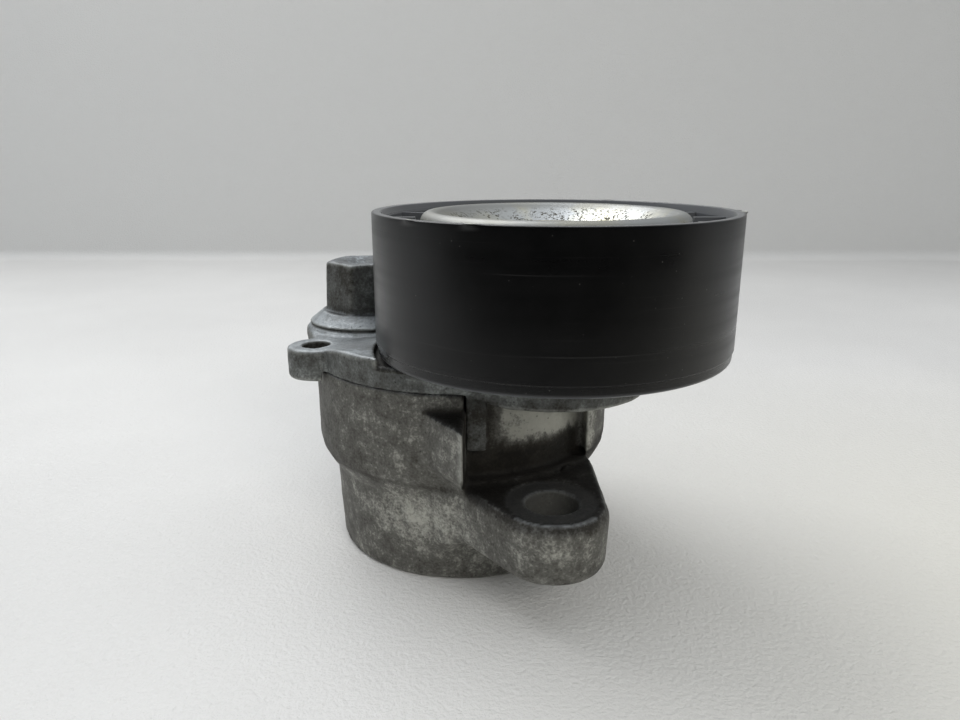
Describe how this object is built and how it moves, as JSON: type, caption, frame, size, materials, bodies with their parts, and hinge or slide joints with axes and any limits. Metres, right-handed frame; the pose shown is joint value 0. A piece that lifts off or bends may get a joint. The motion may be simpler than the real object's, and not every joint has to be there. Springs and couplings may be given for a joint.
{
  "type": "belt tensioner idler",
  "caption": "Spring-loaded belt tensioner: cast drum base with bolt ears, pivoting arm with wrench hexagon, and a smooth back-side idler pulley on a ball bearing.",
  "frame": {"origin": "on the arm's pivot axis, at the drum's flat underside", "axes": "+Z along the pivot axis from the drum towards the pulley; the front bolt ear lies towards +X -Y and the rear one towards -X +Y"},
  "size_m": [0.0972, 0.1094, 0.08],
  "materials": {
    "cast_base": "die cast aluminium, mottled grey, grimy in the recesses and rubbed bright on the edges",
    "cast_arm": "die cast aluminium, smoother on the plate top, mottled on the sides",
    "pulley_plastic": "glass filled nylon, near black, run smooth by the belt to a soft sheen",
    "zinc_plate": "zinc plated pressed steel with a faint yellow passivation and dark corrosion specks",
    "bolt_steel": "plated steel bolt, dull",
    "steel": "machined steel",
    "bearing_steel": "ground bearing steel",
    "spring_steel": "dark oiled spring steel",
    "bronze": "sintered bronze",
    "polymer": "filled nylon",
    "cage_nylon": "natural nylon",
    "seal_rubber": "black nitrile rubber"
  },
  "bodies": {
    "base": {"base_housing": "cast_base", "pivot_shaft": "steel", "thrust_washer": "polymer", "torsion_spring": "spring_steel", "spring_seat": "polymer", "retaining_washer": "steel"},
    "arm": {"tensioner_arm": "cast_arm", "pivot_bush": "bronze", "damper_ring": "polymer", "damper_band": "spring_steel", "dust_seal": "seal_rubber", "bearing_inner_ring": "bearing_steel", "bearing_spacer": "steel", "dust_shield_lower": "zinc_plate", "dust_shield_upper": "zinc_plate", "pulley_bolt": "bolt_steel"},
    "pulley": {"pulley_shell": "pulley_plastic", "bearing_outer_ring": "bearing_steel", "bearing_seal_lower": "seal_rubber", "bearing_seal_upper": "seal_rubber"},
    "bearing_set": {"bearing_cage": "cage_nylon", "bearing_ball_1": "bearing_steel", "bearing_ball_2": "bearing_steel", "bearing_ball_3": "bearing_steel", "bearing_ball_4": "bearing_steel", "bearing_ball_5": "bearing_steel", "bearing_ball_6": "bearing_steel", "bearing_ball_7": "bearing_steel", "bearing_ball_8": "bearing_steel"}
  },
  "joints": [
    {"name": "arm_pivot", "type": "hinge", "parent": "base", "child": "arm", "pos_m": [0, 0, 0.045], "axis": [0, 0, 1], "range_deg": [0, 42], "deforming": ["torsion_spring"]},
    {"name": "pulley_spin", "type": "hinge", "parent": "arm", "child": "pulley", "pos_m": [0.0199, -0.0179, 0.0634], "axis": [0, 0, 1], "continuous": true},
    {"name": "cage_spin", "type": "hinge", "parent": "arm", "child": "bearing_set", "pos_m": [0.0199, -0.0179, 0.0634], "axis": [0, 0, 1], "continuous": true}
  ],
  "couplings": [
    {"joint": "cage_spin", "follows": "pulley_spin", "ratio": 0.616}
  ]
}
